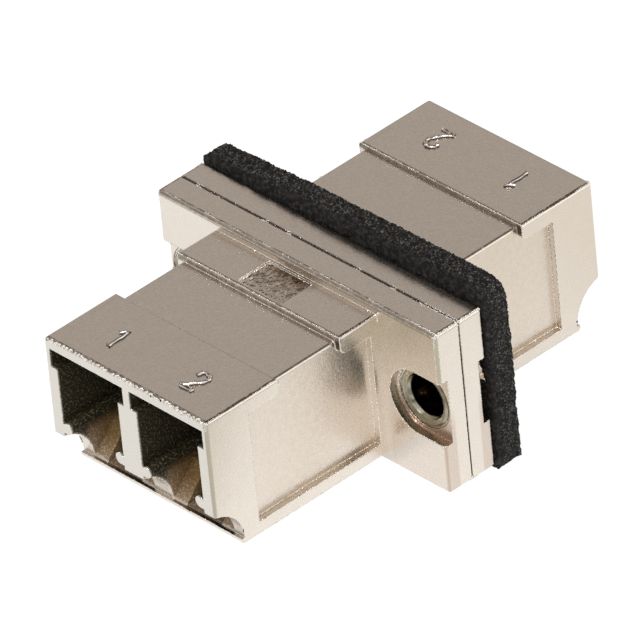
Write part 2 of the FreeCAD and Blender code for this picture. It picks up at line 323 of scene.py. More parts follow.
def table_look(tree):
    """A white that glows to the eye and in reflections, where it has its dimmer and tinted zones."""
    path = add(tree, "ShaderNodeLightPath")
    mirrored = path.outputs["Is Glossy Ray"]
    seen = either(tree, path.outputs["Is Camera Ray"], mirrored)
    glow = product(tree, seen, blend(tree, mirrored, TABLE_GLOW, MIRRORED_GLOW))
    place = in_millimetres(tree)
    toward = number_of(tree, "DOT_PRODUCT", place, DIM_SIDE)
    y = parts_of(tree, place)[1]
    colour = linear(WHITE)
    for (tone, start, end), distance in ((BACK_TABLE, y), (DIM_TABLE, toward), (FAR_TABLE, toward)):
        zone = product(tree, mirrored, remap(tree, distance, start, end))
        colour = mixed(tree, zone, colour, linear(tone))
    strength = math_of(tree, "MULTIPLY_ADD", mirrored, MIRRORED_CHANGE, TABLE_LIGHT)
    paint = first_of(tree, "ShaderNodeBsdfDiffuse", {"Color": linear(TABLE_PAINT)})
    white = first_of(tree, "ShaderNodeEmission", {"Color": colour, "Strength": strength})
    return first_of(tree, "ShaderNodeMixShader", {0: glow, 1: paint, 2: white})


def lay_floor(height):
    """A white table under the adapter."""
    bpy.ops.mesh.primitive_plane_add(size=TABLE_SIZE, location=(0, 0, height))
    floor = bpy.context.object
    floor.name = "table"
    material = bpy.data.materials.new("white_table")
    material.use_nodes = True
    tree = material.node_tree
    tree.nodes.clear()
    add(tree, "ShaderNodeOutputMaterial", {"Surface": table_look(tree)})
    floor.data.materials.append(material)


lay_floor(cad_bounds[0].z)

# %% [markdown]
# ## Nickel over a zinc casting
#
# The housings are cast in zinc and barrel plated with nickel. Nickel is a warm white metal, and a
# casting never comes out of the die dead smooth: a fine grain breaks up every reflection, and the
# plating grows rough on every outer edge. It hardly reaches into the ports, whose walls are painted
# dark and brown, as bare metal and as painted shade. The groove, the steps, the pockets, the recess
# and lines inside the edges get painted shade, and the upper edges and mouth faces painted
# highlights. Each of these is a mask worked out from Object coordinates in millimetres, so that
# the same patches show from every side and in any light.

# %% Masks for the ports, the recess and the pockets
# Places are in mm. Along is the distance from the parting plane on either half, and a pair is a range,
# or where a mask starts and is full.
MOUTH_RIM = (14.57, 14.47)  # along: the walls inside the ports begin
SLOT_START = 11.6           # along: the slot of the mouth, wider than the ports
SLOT_EXTRA = 0.2
PORT_SIDE = 5.9             # across: outer wall of the ports
PORT_FLOOR = -4.15
PORT_ROOF = 3.93
NOTCH_AXIS = (15.05, -4.1)  # along and up, for the round finger notch
NOTCH_SKIN = 2.43           # its radius and a little more
RECESS_WALL = (5.9, 6.0)    # across: upright wall of the side recess
RECESS_DEPTH = (5.9, 6.34)  # across: from that wall to the side
RECESS_SPAN = (2.3, 11.5)   # along
LEDGE_UP = (-3.75, -3.45)   # up: the ledge at the foot of the recess
POCKET_WALL = (0.9, 1.74)   # along: wall of the pocket round each eyelet
POCKET_SPAN = (6.6, 10.9)   # across


def port_mask(tree, x, along, z):
    """1 on the walls inside the ports and 0 on the outside of the casting."""
    across = math_of(tree, "ABSOLUTE", x)
    in_slot = math_of(tree, "GREATER_THAN", along, SLOT_START)
    limit = math_of(tree, "MULTIPLY_ADD", in_slot, SLOT_EXTRA, PORT_SIDE)
    beside = math_of(tree, "LESS_THAN", across, limit)
    below = math_of(tree, "LESS_THAN", z, PORT_ROOF)
    above = math_of(tree, "GREATER_THAN", z, PORT_FLOOR)
    from_axis = first_of(tree, "ShaderNodeCombineXYZ", {0: along, 1: z})
    notch = number_of(tree, "DISTANCE", from_axis, (*NOTCH_AXIS, 0))
    clear = remap(tree, notch, NOTCH_SKIN, NOTCH_SKIN + 0.1)
    return product(tree, beside, below, above, remap(tree, along, *MOUTH_RIM), clear)


def recess_tarnish_and_shade_mask(tree, place, x, along, z):
    """The side recess: tarnished on its ledge, and darkened with painted shade, most at its foot near the
    flange and least near the mouth.
    """
    across = math_of(tree, "ABSOLUTE", x)
    streaks = cloudy(tree, place, 0.16, 2.0, stretch=(1, 0.12, 1))
    ledge = product(tree, within(tree, z, *LEDGE_UP), within(tree, across, *RECESS_DEPTH),
                    within(tree, along, *RECESS_SPAN), remap(tree, streaks, 0.2, 0.62, 0.6, 1.0))
    recess = product(tree, within(tree, across, *RECESS_WALL), within(tree, along, *RECESS_SPAN))
    # painted shade low in the recess near the flange
    foot = product(tree, recess, within(tree, z, -3.6, -2.7, 0.6), remap(tree, along, 8.5, 3.5, 0.0, 0.9))
    # painted shade over the recess wall, fading towards the mouth and right by the flange
    recess_shade = product(tree, recess, remap(tree, along, 11.5, 7.0, 0.4, 0.9),
                   remap(tree, along, 3.5, 6.0, 0.2, 1.0))
    return either(tree, ledge, foot, recess_shade)


def pocket_shade_mask(tree, x, along, z):
    """The lower wall of the pocket round each eyelet, browned with painted shade."""
    across = math_of(tree, "ABSOLUTE", x)
    return product(tree, within(tree, along, *POCKET_WALL), within(tree, across, *POCKET_SPAN),
                   remap(tree, z, 0.2, -1.2))


def stuck_mask(tree, x, along, z):
    """A patch high in the side recess near the flange, matt because the metal stuck to the die."""
    return product(tree, within(tree, math_of(tree, "ABSOLUTE", x), *RECESS_WALL),
                   within(tree, along, 3.4, 5.2, 0.9), within(tree, z, 1.2, 3.2, 0.8))


# %% Masks for the painted shade at the steps, in the groove and inside the edges
STAIN = 0.9                 # mm across a patch of tarnish
FINE = 0.03                 # mm: soft edge of a narrow line
REAR_STEP = (9.16, 9.26)    # rear half only: the step up to its end section
COLLAR_STEP = (4.46, 4.68)  # along: the step up to each collar
STEP_UP = (4.2, 4.56)       # up: those steps
PLATE_FACE = (1.64, 1.82)   # along: outer face of the flange
SIDE_LINE = (6.13, 6.21)    # painted shade inside the top edge of one side
MOUTH_LINE = (-14.4, -14.32)    # behind the teeth of the front mouth
PLATE_LINE = (1.52, 1.58)   # along: inside the long edges of the flange
PLATE_END_LINE = (10.68, 10.74)     # across: inside its ends
STEP_ENDS = ((9.14, 9.26), (-4.66, -4.54))  # and at the ends of two steps on one side
END_X = (5.98, 6.33)
END_UP = (3.4, 4.4)


def groove_shade_mask(tree, place, along, z):
    """The fine groove where the two halves meet, darkened with painted shade, widest on top."""
    patches = cloudy(tree, place, STAIN, 3.0)
    reach = remap(tree, z, 5.0, 5.1, 0.06, 0.11)
    return product(tree, remap(tree, math_of(tree, "SUBTRACT", along, reach), 0.0, -0.03),
                   remap(tree, patches, 0.2, 0.5, 0.75, 1.0))


def step_shade_mask(tree, place, y, z):
    """The steps up to the rear section, the collars and the flange, darkened with painted shade."""
    along = math_of(tree, "ABSOLUTE", y)
    steps = either(tree, within(tree, y, *REAR_STEP, FINE), within(tree, along, *COLLAR_STEP, FINE))
    steps = product(tree, steps, within(tree, z, *STEP_UP))
    flange = product(tree, within(tree, along, *PLATE_FACE, FINE), remap(tree, z, 4.9, 5.05))
    return product(tree, either(tree, steps, flange),
                   remap(tree, cloudy(tree, place, 0.25, 2.0), 0.25, 0.55, 0.5, 1.0))


def edge_shade_mask(tree, place, x, y, z):
    """Painted shade in a narrow broken line inside the beaded top edges, and painted shadow at the ends of
    two steps.
    """
    across = math_of(tree, "ABSOLUTE", x)
    along = math_of(tree, "ABSOLUTE", y)
    body = product(tree, within(tree, x, *SIDE_LINE, FINE), within(tree, z, 4.1, 4.75))
    mouth = product(tree, within(tree, y, *MOUTH_LINE, FINE), remap(tree, z, 4.35, 4.45))
    plates = either(tree, within(tree, along, *PLATE_LINE, FINE),
                    within(tree, across, *PLATE_END_LINE, FINE))
    flange = product(tree, plates, remap(tree, z, 5.1, 5.2))
    lines = product(tree, either(tree, body, mouth, flange),
                    remap(tree, cloudy(tree, place, 0.35, 2.0), 0.35, 0.55))
    ends = either(tree, *[within(tree, y, *end, 0.04) for end in STEP_ENDS])
    ends = product(tree, ends, within(tree, x, *END_X, 0.02), within(tree, z, *END_UP, 0.15))
    return either(tree, lines, ends)


def plain_mask(tree, x, y, z):
    """Corners without any crust: behind the front section, under the rear step and beside the flange."""
    across = math_of(tree, "ABSOLUTE", x)
    along = math_of(tree, "ABSOLUTE", y)
    behind_front = within(tree, y, -9.35, -9.05)
    under_step = product(tree, within(tree, y, 8.95, 9.3), remap(tree, z, 4.4, 4.34))
    beside_flange = product(tree, within(tree, along, 1.6, 2.05), remap(tree, across, 7.0, 6.9),
                            remap(tree, z, 4.2, 4.1))
    return either(tree, behind_front, under_step, beside_flange)


# %% Masks for the sunk panel
PANEL_X = (-1.95, 1.65)
PANEL_ALONG = (1.87, 4.38)
PANEL_UP = (4.4, 4.55)


def panel_mask(tree, x, along, z):
    """1 in the panel sunk into the collar."""
    return product(tree, within(tree, z, *PANEL_UP), within(tree, x, *PANEL_X),
                   within(tree, along, *PANEL_ALONG))


def blotch_mask(tree, place, x, along, z):
    """Brown blotches in the sunk panel, most at its back, and a stain between it and the flange."""
    patches = cloudy(tree, place, 0.4, 3.0)
    panel = product(tree, panel_mask(tree, x, along, z), remap(tree, patches, 0.36, 0.66),
                    remap(tree, along, 4.2, 2.2, 0.15, 0.95))
    stain = product(tree, within(tree, z, 4.4, 4.75), within(tree, x, -1.0, 1.6, 0.6),
                    within(tree, along, 1.7, 2.5, 0.4), remap(tree, patches, 0.3, 0.5, 0.4, 1.0))
    return either(tree, panel, stain)


# %% Colours outside and inside
MOUTH_FACE = 14.55                  # mm along, where the face of the mouth begins
PLATE = ("#f2eae0", "#e6dcd0")      # the two tones of the plating
MOUTH_FACE_HIGHLIGHT = "#e1ddd4"             # a neutral tone on the mouth faces: painted highlight for the bright light they catch
BARE_AND_SHADED = ("#2a261a", "#6f674c")       # port walls and their specks: bare metal, painted near black for the shade in the ports
RAMP_LIGHT = ("#7c6340", "#a68d66")     # latch ramps, painted lighter for the light that comes in at the mouth
TARNISH_AND_SHADE = ("#ebe0d2", "#d6c9ba")
EDGE_PLATE_AND_HIGHLIGHT = "#fffaf2"              # whiter where the skin turns high up: thicker plating, and a painted highlight
POCKET_SHADE = "#cbb9a9"
STEP_SHADE = "#a3978b"
ROUGH = "#b9b0a1"
SHADE_BROWN = "#66584c"
GROOVE_SHADE = "#3a2d24"
BLOTCH = "#80664e"                  # stains in the sunk panel
LOW_RAMP_LIGHT = "#c4b5a4"              # painted light low on the ramps, nearest the mouth


def outside_colour(tree, place, x, y, z, masks):
    """The plating on the outside, with its tarnished ledge, stains, painted shade and painted highlights
    laid over it one by one.
    """
    along = math_of(tree, "ABSOLUTE", y)
    mottle = math_of(tree, "MULTIPLY_ADD", masks["grain"], 0.5, product(tree, masks["dimples"], 0.5))
    skin = mixed(tree, mottle, linear(PLATE[0]), linear(PLATE[1]))
    # the mouth faces get a neutral tone: a painted highlight
    skin = mixed(tree, remap(tree, along, MOUTH_FACE, MOUTH_FACE + 0.03), skin, linear(MOUTH_FACE_HIGHLIGHT))
    # tarnished ledge, and painted shade in the recess
    tarnish_and_shade = mixed(tree, cloudy(tree, place, 0.3), linear(TARNISH_AND_SHADE[0]), linear(TARNISH_AND_SHADE[1]))
    skin = mixed(tree, recess_tarnish_and_shade_mask(tree, place, x, along, z), skin, tarnish_and_shade)
    stuck_specks = product(tree, masks["stuck"], remap(tree, cloudy(tree, place, 0.11, 2.0), 0.48, 0.58))
    layers = (
        # painted shade on the lower wall of each pocket
        (pocket_shade_mask(tree, x, along, z), POCKET_SHADE),
        (blotch_mask(tree, place, x, along, z), BLOTCH),
        # painted shade on the steps and along the top of the flange faces
        (masks["step"], STEP_SHADE),
        (stuck_specks, ROUGH),
        # painted shade in broken lines inside the edges, and painted shadow at two step ends
        (edge_shade_mask(tree, place, x, y, z), SHADE_BROWN),
        # painted shade in the groove between the halves
        (groove_shade_mask(tree, place, along, z), GROOVE_SHADE),
        # whiter upper edges: thicker plating, and a painted highlight
        (product(tree, masks["edge"], remap(tree, z, 3.0, 4.0)), EDGE_PLATE_AND_HIGHLIGHT),
    )
    for mask, tone in layers:
        skin = mixed(tree, mask, skin, linear(tone))
    return skin


def inside_colour(tree, place, along, z):
    """The walls inside the ports: nearly bare and painted dark for their shade, with painted light on the
    latch ramps, most low down near the mouth.
    """
    speck = remap(tree, cloudy(tree, place, 0.12, 2.0), 0.52, 0.66)
    walls = mixed(tree, speck, linear(BARE_AND_SHADED[0]), linear(BARE_AND_SHADED[1]))
    # painted light on the ramps and painted shade on the other walls
    ramps = mixed(tree, product(tree, speck, 0.8), linear(RAMP_LIGHT[0]), linear(RAMP_LIGHT[1]))
    lit_ramps = product(tree, remap(tree, z, -1.6, -2.4), within(tree, along, 10.4, 12.9, 0.2))
    low_ramp_light = product(tree, remap(tree, z, -1.8, -3.0), remap(tree, along, 11.6, 12.8),
                         remap(tree, speck, 0.0, 0.6, 0.25, 1.0))
    return mixed(tree, low_ramp_light, mixed(tree, lit_ramps, walls, ramps), linear(LOW_RAMP_LIGHT))


# %% Nickel-plated zinc
GRAIN = 0.13                # mm across one grain of the cast skin
DIMPLE = 0.6                # mm across the soft dents left by the plating barrel
CORNER = 0.11 * MM          # how far from a corner the plating grows rough
METAL_INSIDE = 0.55         # Metallic on the bare walls, dull with oxide
PORT_ROUGHNESS = 0.6


def nickel_plated_zinc():
    material, tree, shader = new_material("nickel_plated_zinc_casting")
    place = in_millimetres(tree)
    x, y, z = parts_of(tree, place)
    along = math_of(tree, "ABSOLUTE", y)
    grain = cloudy(tree, place, GRAIN, 3.0)
    dimples = cloudy(tree, place, DIMPLE, 2.0)
    inside = port_mask(tree, x, along, z)
    step = step_shade_mask(tree, place, y, z)
    stuck = stuck_mask(tree, x, along, z)

    # the plating is rough where the skin turns: there the bevelled normal leaves the flat one
    rounded = first_of(tree, "ShaderNodeBevel", {"Radius": CORNER}, samples=8)
    flat = add(tree, "ShaderNodeNewGeometry").outputs["Normal"]
    agreement = number_of(tree, "DOT_PRODUCT", rounded, flat)
    plain = either(tree, inside, plain_mask(tree, x, y, z))
    outside = math_of(tree, "SUBTRACT", 1.0, plain)
    edge = product(tree, remap(tree, agreement, 0.995, 0.93), outside)

    masks = {"grain": grain, "dimples": dimples, "step": step, "stuck": stuck, "edge": edge}
    skin = outside_colour(tree, place, x, y, z, masks)
    colour = mixed(tree, inside, skin, inside_colour(tree, place, along, z))

    polish = product(tree, remap(tree, grain, 0.0, 1.0, 0.2, 0.36), remap(tree, edge, 0.0, 1.0, 1.0, 0.4))
    polish = math_of(tree, "MULTIPLY_ADD", step, 0.3, polish)
    polish = math_of(tree, "MULTIPLY_ADD", stuck, 0.05, polish)

    # bumps one on another: puddles in the sunk panel, dimples, grain, and the crust on the edges
    turned = add(tree, "ShaderNodeMix", {0: plain, 4: rounded, 5: flat}, data_type="VECTOR").outputs[1]
    normal = bump(tree, cloudy(tree, place, 0.32, 1.0), panel_mask(tree, x, along, z), 0.15, turned)
    normal = bump(tree, dimples, 0.25, 0.02, normal)
    normal = bump(tree, grain, math_of(tree, "MULTIPLY_ADD", stuck, 0.7, 0.28), 0.02, normal)
    normal = bump(tree, cloudy(tree, place, 0.17, 1.0), product(tree, edge, 0.55), 0.2, normal)
    give(tree, shader, {"Base Color": colour, "Metallic": remap(tree, inside, 0.0, 1.0, 1.0, METAL_INSIDE),
                        "Roughness": blend(tree, inside, polish, PORT_ROUGHNESS), "Normal": normal})
    return material


casting = nickel_plated_zinc()


def dress(node, material):
    """Give every slot of a CAD node one material."""
    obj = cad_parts[node]
    obj.data.materials.clear()
    obj.data.materials.append(material)


for housing in ("front_housing", "rear_housing"):
    dress(housing, casting)

# %% [markdown]
# ## Port numbers
#
# Each port has a plain raised number on top, so that the installer can tell the two fibres apart. In
# the die it is a groove cut with a small ball cutter, so on the casting it is a thin round bead. Here
# each stroke is a curve with a round bevel, half sunk in the metal, and noise makes it lumpy as the
# plating does. The rear half is the front half turned round, and so are its numbers.

# %% Bright nickel
BRIGHT = ("#ffffff", "#e6dccf")     # its two tones
NUMBER_FOOT = (4.6, 4.54)           # up, in mm: where the painted shade round the numbers starts and is full
NUMBER_SPAN = (11.0, 13.4)          # along, in mm


def bright_nickel():
    """Nickel that grew free of the die: smooth and bright, with painted shade round the foot of the
    numbers.
    """
    material, tree, shader = new_material("bright_nickel_plating")
    place = in_millimetres(tree)
    y, z = parts_of(tree, place)[1:]
    tone = mixed(tree, cloudy(tree, place, 0.4), linear(BRIGHT[0]), linear(BRIGHT[1]))
    foot = product(tree, remap(tree, z, *NUMBER_FOOT),
                   within(tree, math_of(tree, "ABSOLUTE", y), *NUMBER_SPAN))
    roughness = remap(tree, cloudy(tree, place, 0.1), 0.3, 0.7, 0.1, 0.3)
    # painted shade round the foot of the numbers
    give(tree, shader, {"Base Color": mixed(tree, foot, tone, linear(SHADE_BROWN)), "Metallic": 1.0,
                        "Roughness": roughness})
    return material


bead_finish = bright_nickel()

# %% Strokes of the numbers
NUMBER_HEIGHT = 1.6 * MM
STROKE = 0.15 * MM          # radius of the bead
LUMP = 0.09 * MM            # how far the plating makes it uneven
LUMP_SIZE = 0.22 * MM       # across one lump
END_TOP = 4.5 * MM          # top of the end sections
NUMBER_PLACE = Vector((3.12, 12.15, 0)) * MM    # distance of each number from the adapter's middle
STROKES = {                 # in shares of the height, from the foot of the number
    1: [[(-0.16, 0.78), (0.08, 1.0), (0.08, 0.0)]],
    2: [[(-0.26, 0.76), (-0.2, 0.93), (0.0, 1.0), (0.22, 0.9), (0.24, 0.68), (0.08, 0.4),
         (-0.28, 0.02)], [(-0.28, 0.0), (0.3, 0.0)]],
}


def stroke_curve(points):
    """One stroke as a bevelled curve that passes through its points."""
    data = bpy.data.curves.new("stroke", "CURVE")
    data.dimensions = "3D"
    data.bevel_depth = STROKE
    data.bevel_resolution = 3
    data.use_fill_caps = True
    spline = data.splines.new("BEZIER")
    spline.bezier_points.add(len(points) - 1)
    for knot, (across, up) in zip(spline.bezier_points, points):
        knot.co = Vector((across, up - 0.5, 0)) * NUMBER_HEIGHT
        knot.handle_left_type = knot.handle_right_type = "AUTO" if len(points) > 3 else "VECTOR"
    spline.resolution_u = 6
    return data


def mesh_from(data_block):
    """The plain mesh that a curve gives, or an object with its modifiers. The object is removed."""
    holder = data_block
    if not isinstance(data_block, bpy.types.Object):
        holder = bpy.data.objects.new("holder", data_block)
        bpy.context.scene.collection.objects.link(holder)
    graph = bpy.context.evaluated_depsgraph_get()
    mesh = bpy.data.meshes.new_from_object(holder.evaluated_get(graph), depsgraph=graph)
    bpy.data.objects.remove(holder)
    return mesh


def new_piece(name, mesh, material):
    """A finished piece at the origin that rides with the adapter."""
    mesh.name = name
    mesh.materials.clear()
    mesh.materials.append(material)
    piece = bpy.data.objects.new(name, mesh)
    bpy.context.scene.collection.objects.link(piece)
    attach(piece, "root")
    print(name, len(mesh.polygons), "faces")
    return piece


def make_lumpy(mesh, size, depth, seed):
    """Move every vertex along its normal by noise whose lumps are about size across."""
    offset = Vector((seed, 2 * seed, 3 * seed))
    moved = [v.co + v.normal * depth * noise.noise(v.co / size + offset) for v in mesh.vertices]
    for vertex, place in zip(mesh.vertices, moved):
        vertex.co = place


# %% The four numbers
def port_number(number, x, y, turn, name):
    """The raised number at one place on top of an end section."""
    work = bmesh.new()
    for points in STROKES[number]:
        work.from_mesh(mesh_from(stroke_curve(points)))
    mesh = bpy.data.meshes.new(name)
    bmesh.ops.subdivide_edges(work, edges=[e for e in work.edges if e.calc_length() > STROKE], cuts=4)
    work.to_mesh(mesh)
    work.free()
    mesh.transform(Matrix.Translation((x, y, END_TOP)) @ Matrix.Rotation(turn, 4, "Z"))
    make_lumpy(mesh, LUMP_SIZE, LUMP, number)
    for face in mesh.polygons:
        face.use_smooth = True
    new_piece(name, mesh, bead_finish)


for half, sign, turn in (("front", -1, 0.0), ("rear", 1, math.pi)):
    for number in STROKES:
        x = NUMBER_PLACE.x * sign * (1 if number == 1 else -1)
        port_number(number, x, NUMBER_PLACE.y * sign, turn, f"{half}_port_number_{number}")

# %% [markdown]
# ## Nickel beads on the edges
#
# In a plating barrel the current crowds on every outer edge, and the nickel grows there as small
# bright beads. They follow the edges of the casting, so Geometry Nodes suit them: the outward corners
# are taken from a merged copy of the housing as a wire, and each point of it knows how rich its corner
# is. The wire is cut into points, a noise leaves the poorer stretches bare, and a small ball of random
# size stands on each point that is left.

# %% Which edges carry beads
EYELET_PLACE = 8.9          # mm from the middle to each eyelet's axis
MERGE = 0.002 * MM          # points closer than this are one
TURN = math.radians(5)      # a rounded corner is made of facets that turn by more than this
COARSE = math.radians(40)   # and a coarse one by more than this
SHARP = math.radians(60)    # a turn past this is a corner by itself
LEAST_LEAN = -0.01          # how much more a middle line faces its first axis than its second
MOST_LEAN = 0.4
COARSE_LEAN = 0.6           # the most on a coarse corner


def on_middle_line(edge):
    """Whether an edge is the outward corner itself, or the middle line of a rounded one. On a
    middle line the two axes that it faces most have nearly equal shares."""
    turn = edge.calc_face_angle_signed()
    if turn < TURN:
        return False
    if turn > SHARP:
        return True
    facing = (edge.link_faces[0].normal + edge.link_faces[1].normal).normalized()
    shares = sorted([(abs(facing.z), 3), (abs(facing.y), 2), (abs(facing.x), 1)], reverse=True)[:2]
    lead, other = [share for share, _ in sorted(shares, key=lambda pair: -pair[1])]
    return LEAST_LEAN < lead - other < (COARSE_LEAN if turn > COARSE else MOST_LEAN)


def stays_smooth(place):
    """Whether a place is inside a port, at the parting plane, at an end of the side recess, beside
    the gasket or round an eyelet, where no beads grow. The limits lie a little outside those."""
    x, y, z = (abs(place.x) / MM, abs(place.y) / MM, place.z / MM)
    notch = math.hypot(y - NOTCH_AXIS[0], z - NOTCH_AXIS[1])
    in_port = x < 6.1 and 1.8 < y < 14.7 and -4.2 < z < 3.95 and notch > NOTCH_SKIN
    at_recess_end = abs(y - 11.5) < 0.1 or abs(y - 2.37) < 0.1
    in_recess = 5.9 < x < 6.4 and at_recess_end and z < 3.4
    beside_gasket = 1.4 < place.y / MM < 1.9
    at_eyelet = math.hypot(x - EYELET_PLACE, z) < 2.0
    return in_port or in_recess or beside_gasket or at_eyelet or y < 0.02


def growth(place):
    """How much of an edge is beaded at a place, and how thick the beads are. A share of 1 is all of
    the edge, and a girth of 1 is the full radius."""
    x, y, z = (c / MM for c in place)
    if abs(y) < 0.2:                            # along the groove between the halves
        return (0.8, 0.5) if x > 8.5 else (0.2, 0.45)
    if abs(y) < 1.9:                            # round the flange and the pockets
        if x > 9.3 and z > 4.5:
            return 0.9, 0.6
        if abs(z) < 2.5 and 6.5 < abs(x) < 10.8:
            return (0.9, 0.45) if z < 0.5 else (0.2, 0.4)
        return (0.4, 0.35) if z > 5.0 else (0.1, 0.4)
    if z > 4.3 and y < -14.3 and abs(x) < 6.2:  # the row of teeth over the front mouth
        return (1.0, 1.3) if x > 0.4 else (0.65, 1.0)
    if z > 4.3 and (abs(y - 9.2) < 0.2 or abs(y + 4.6) < 0.2):      # the rear and the collar step
        return 0.75, 0.35
    if z > 3.8 and x > 6.0:                     # the top edge of one side
        return 0.7, 0.4
    if abs(z + 3.55) < 0.2 and abs(x) > 6.2:    # the foot of the side recesses
        return 0.35, 0.35
    return 0.08, 0.4


# %% The wire of those edges
def edge_wire(node):
    """The outward edges of a housing as a mesh without faces, with the growth at every point."""
    work = bmesh.new()
    work.from_mesh(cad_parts[node].data)
    bmesh.ops.remove_doubles(work, verts=work.verts, dist=MERGE)
    wire = bmesh.new()
    for edge in work.edges:
        if len(edge.link_faces) != 2 or not on_middle_line(edge):
            continue
        ends = [v.co for v in edge.verts]
        if stays_smooth((ends[0] + ends[1]) / 2):
            continue
        count = max(1, round(edge.calc_length() / MM))
        steps = [wire.verts.new(ends[0].lerp(ends[1], i / count)) for i in range(count + 1)]
        for first, second in zip(steps, steps[1:]):
            wire.edges.new((first, second))
    bmesh.ops.remove_doubles(wire, verts=wire.verts, dist=MERGE)
    mesh = bpy.data.meshes.new(node + "_edges")
    wire.to_mesh(mesh)
    grown = [growth(v.co) for v in mesh.vertices]
    for name, values in zip(("richness", "girth"), zip(*grown)):
        mesh.attributes.new(name, "FLOAT", "POINT").data.foreach_set("value", values)
    print(node, "edge wire:", round(sum(e.calc_length() for e in wire.edges) / MM), "mm")
    work.free()
    wire.free()
    return mesh


# %% Geometry Nodes that set the beads
BEAD = {"Pitch": 0.1 * MM, "Radius": 0.11 * MM, "Patch": 0.9}      # the patch is in mm
POOR_LIMIT = 0.28           # noise up to this keeps its beads where the richness is 0
RICH_GAIN = 0.45            # and the limit rises by this where it is 1
STRAY_SEED = 3
SIZE_SEED = 7


def named_input(tree, name, kind):
    """One named input of a node group, and its identifier."""
    return tree.interface.new_socket(name, in_out="INPUT", socket_type=kind).identifier


def attribute(tree, name):
    """A number that is stored at every point."""
    return first_of(tree, "GeometryNodeInputNamedAttribute", {0: name}, data_type="FLOAT")


def kept_points(tree, given, place, girth):
    """Points along the wire. Noise leaves the poorer stretches bare, and thick beads stand further
    apart."""
    curve = first_of(tree, "GeometryNodeMeshToCurve", {0: given["Geometry"]})
    points = first_of(tree, "GeometryNodeCurveToPoints", {0: curve, "Length": given["Pitch"]},
                      mode="LENGTH")
    per_patch = math_of(tree, "DIVIDE", 1.0, given["Patch"])
    patches = first_of(tree, "ShaderNodeTexNoise", {"Vector": scaled(tree, place, 1 / MM),
                                                    "Scale": per_patch, "Detail": 1.0})
    limit = math_of(tree, "MULTIPLY_ADD", attribute(tree, "richness"), RICH_GAIN, POOR_LIMIT)
    bare = math_of(tree, "GREATER_THAN", patches, limit)
    # a bead stands on every point whose number is a multiple of 4 * girth - 1, rounded
    every = math_of(tree, "ROUND", math_of(tree, "MULTIPLY_ADD", girth, 4.0, -1.0))
    every = either(tree, every, 1.0)
    past = math_of(tree, "MODULO", first_of(tree, "GeometryNodeInputIndex"), every)
    between = math_of(tree, "GREATER_THAN", past, 0.5)
    gone = either(tree, bare, between)
    return first_of(tree, "GeometryNodeDeleteGeometry", {0: points, 1: gone}, domain="POINT")


def balls_on(tree, points, radius):
    """A ball on every point, moved a little and from 0.6 to 1.1 times the radius."""
    stray = first_of(tree, "FunctionNodeRandomValue", {0: (-1, -1, -1), 1: (1, 1, 1), "Seed": STRAY_SEED},
                     data_type="FLOAT_VECTOR")
    reach = scaled(tree, scaled(tree, stray, radius), 0.5)
    loose = first_of(tree, "GeometryNodeSetPosition", {0: points, "Offset": reach})
    chance = add(tree, "FunctionNodeRandomValue", {2: 0.0, 3: 1.0, "Seed": SIZE_SEED},
                 data_type="FLOAT").outputs[1]
    size = math_of(tree, "MULTIPLY_ADD", chance, 0.5, 0.6)
    ball = first_of(tree, "GeometryNodeMeshIcoSphere", {"Radius": 1.0, "Subdivisions": 2})
    beads = first_of(tree, "GeometryNodeInstanceOnPoints", {0: loose, "Instance": ball,
                                                            "Scale": product(tree, size, radius)})
    return first_of(tree, "GeometryNodeRealizeInstances", {0: beads})


# %% The node group
def bead_tree():
    """Beads on a wire: pitch, radius, size of the patches, and the box that they stay in."""
    tree = bpy.data.node_groups.new("nickel_beads", "GeometryNodeTree")
    kinds = {"Geometry": "Geometry", "Pitch": "Float", "Radius": "Float", "Patch": "Float",
             "Low corner": "Vector", "High corner": "Vector", "Material": "Material"}
    names = {name: named_input(tree, name, "NodeSocket" + kind) for name, kind in kinds.items()}
    tree.interface.new_socket("Geometry", in_out="OUTPUT", socket_type="NodeSocketGeometry")
    given = add(tree, "NodeGroupInput").outputs
    place = first_of(tree, "GeometryNodeInputPosition")
    girth = attribute(tree, "girth")
    points = kept_points(tree, given, place, girth)
    real = balls_on(tree, points, math_of(tree, "MULTIPLY", girth, given["Radius"]))
    at_least = vector_of(tree, "MAXIMUM", place, given["Low corner"])
    boxed = vector_of(tree, "MINIMUM", at_least, given["High corner"])
    held = first_of(tree, "GeometryNodeSetPosition", {0: real, "Position": boxed})
    smooth = first_of(tree, "GeometryNodeSetShadeSmooth", {0: held, "Shade Smooth": True})
    done = first_of(tree, "GeometryNodeSetMaterial", {0: smooth, "Material": given["Material"]})
    add(tree, "NodeGroupOutput", {0: done})
    return tree, names


beading, bead_inputs = bead_tree()


def beads_on(node, name):
    """The beads of one housing as a piece of their own."""
    wire = bpy.data.objects.new(name + "_wire", edge_wire(node))
    bpy.context.scene.collection.objects.link(wire)
    modifier = wire.modifiers.new("beads", "NODES")
    modifier.node_group = beading
    for key, value in BEAD.items():
        modifier[bead_inputs[key]] = value
    modifier[bead_inputs["Low corner"]] = tuple(cad_bounds[0])
    modifier[bead_inputs["High corner"]] = tuple(cad_bounds[1])
    modifier[bead_inputs["Material"]] = bead_finish
    new_piece(name, mesh_from(wire), bead_finish)


beads_on("front_housing", "front_edge_beads")
beads_on("rear_housing", "rear_edge_beads")

# %% [markdown]
# ## The foam gasket
#
# The seal is a strip of EPDM foam rubber, die cut from a sheet, with a window for the body and a hole
# for each screw. Its cut faces are open cells, and its edges are a little torn. The flat CAD ring is
# copied, given an even skin of small faces by a voxel remesh, and every vertex is then sunk by a
# Voronoi pattern of round cells and by slower noise. It only ever moves inwards, so the gasket keeps
# its size.

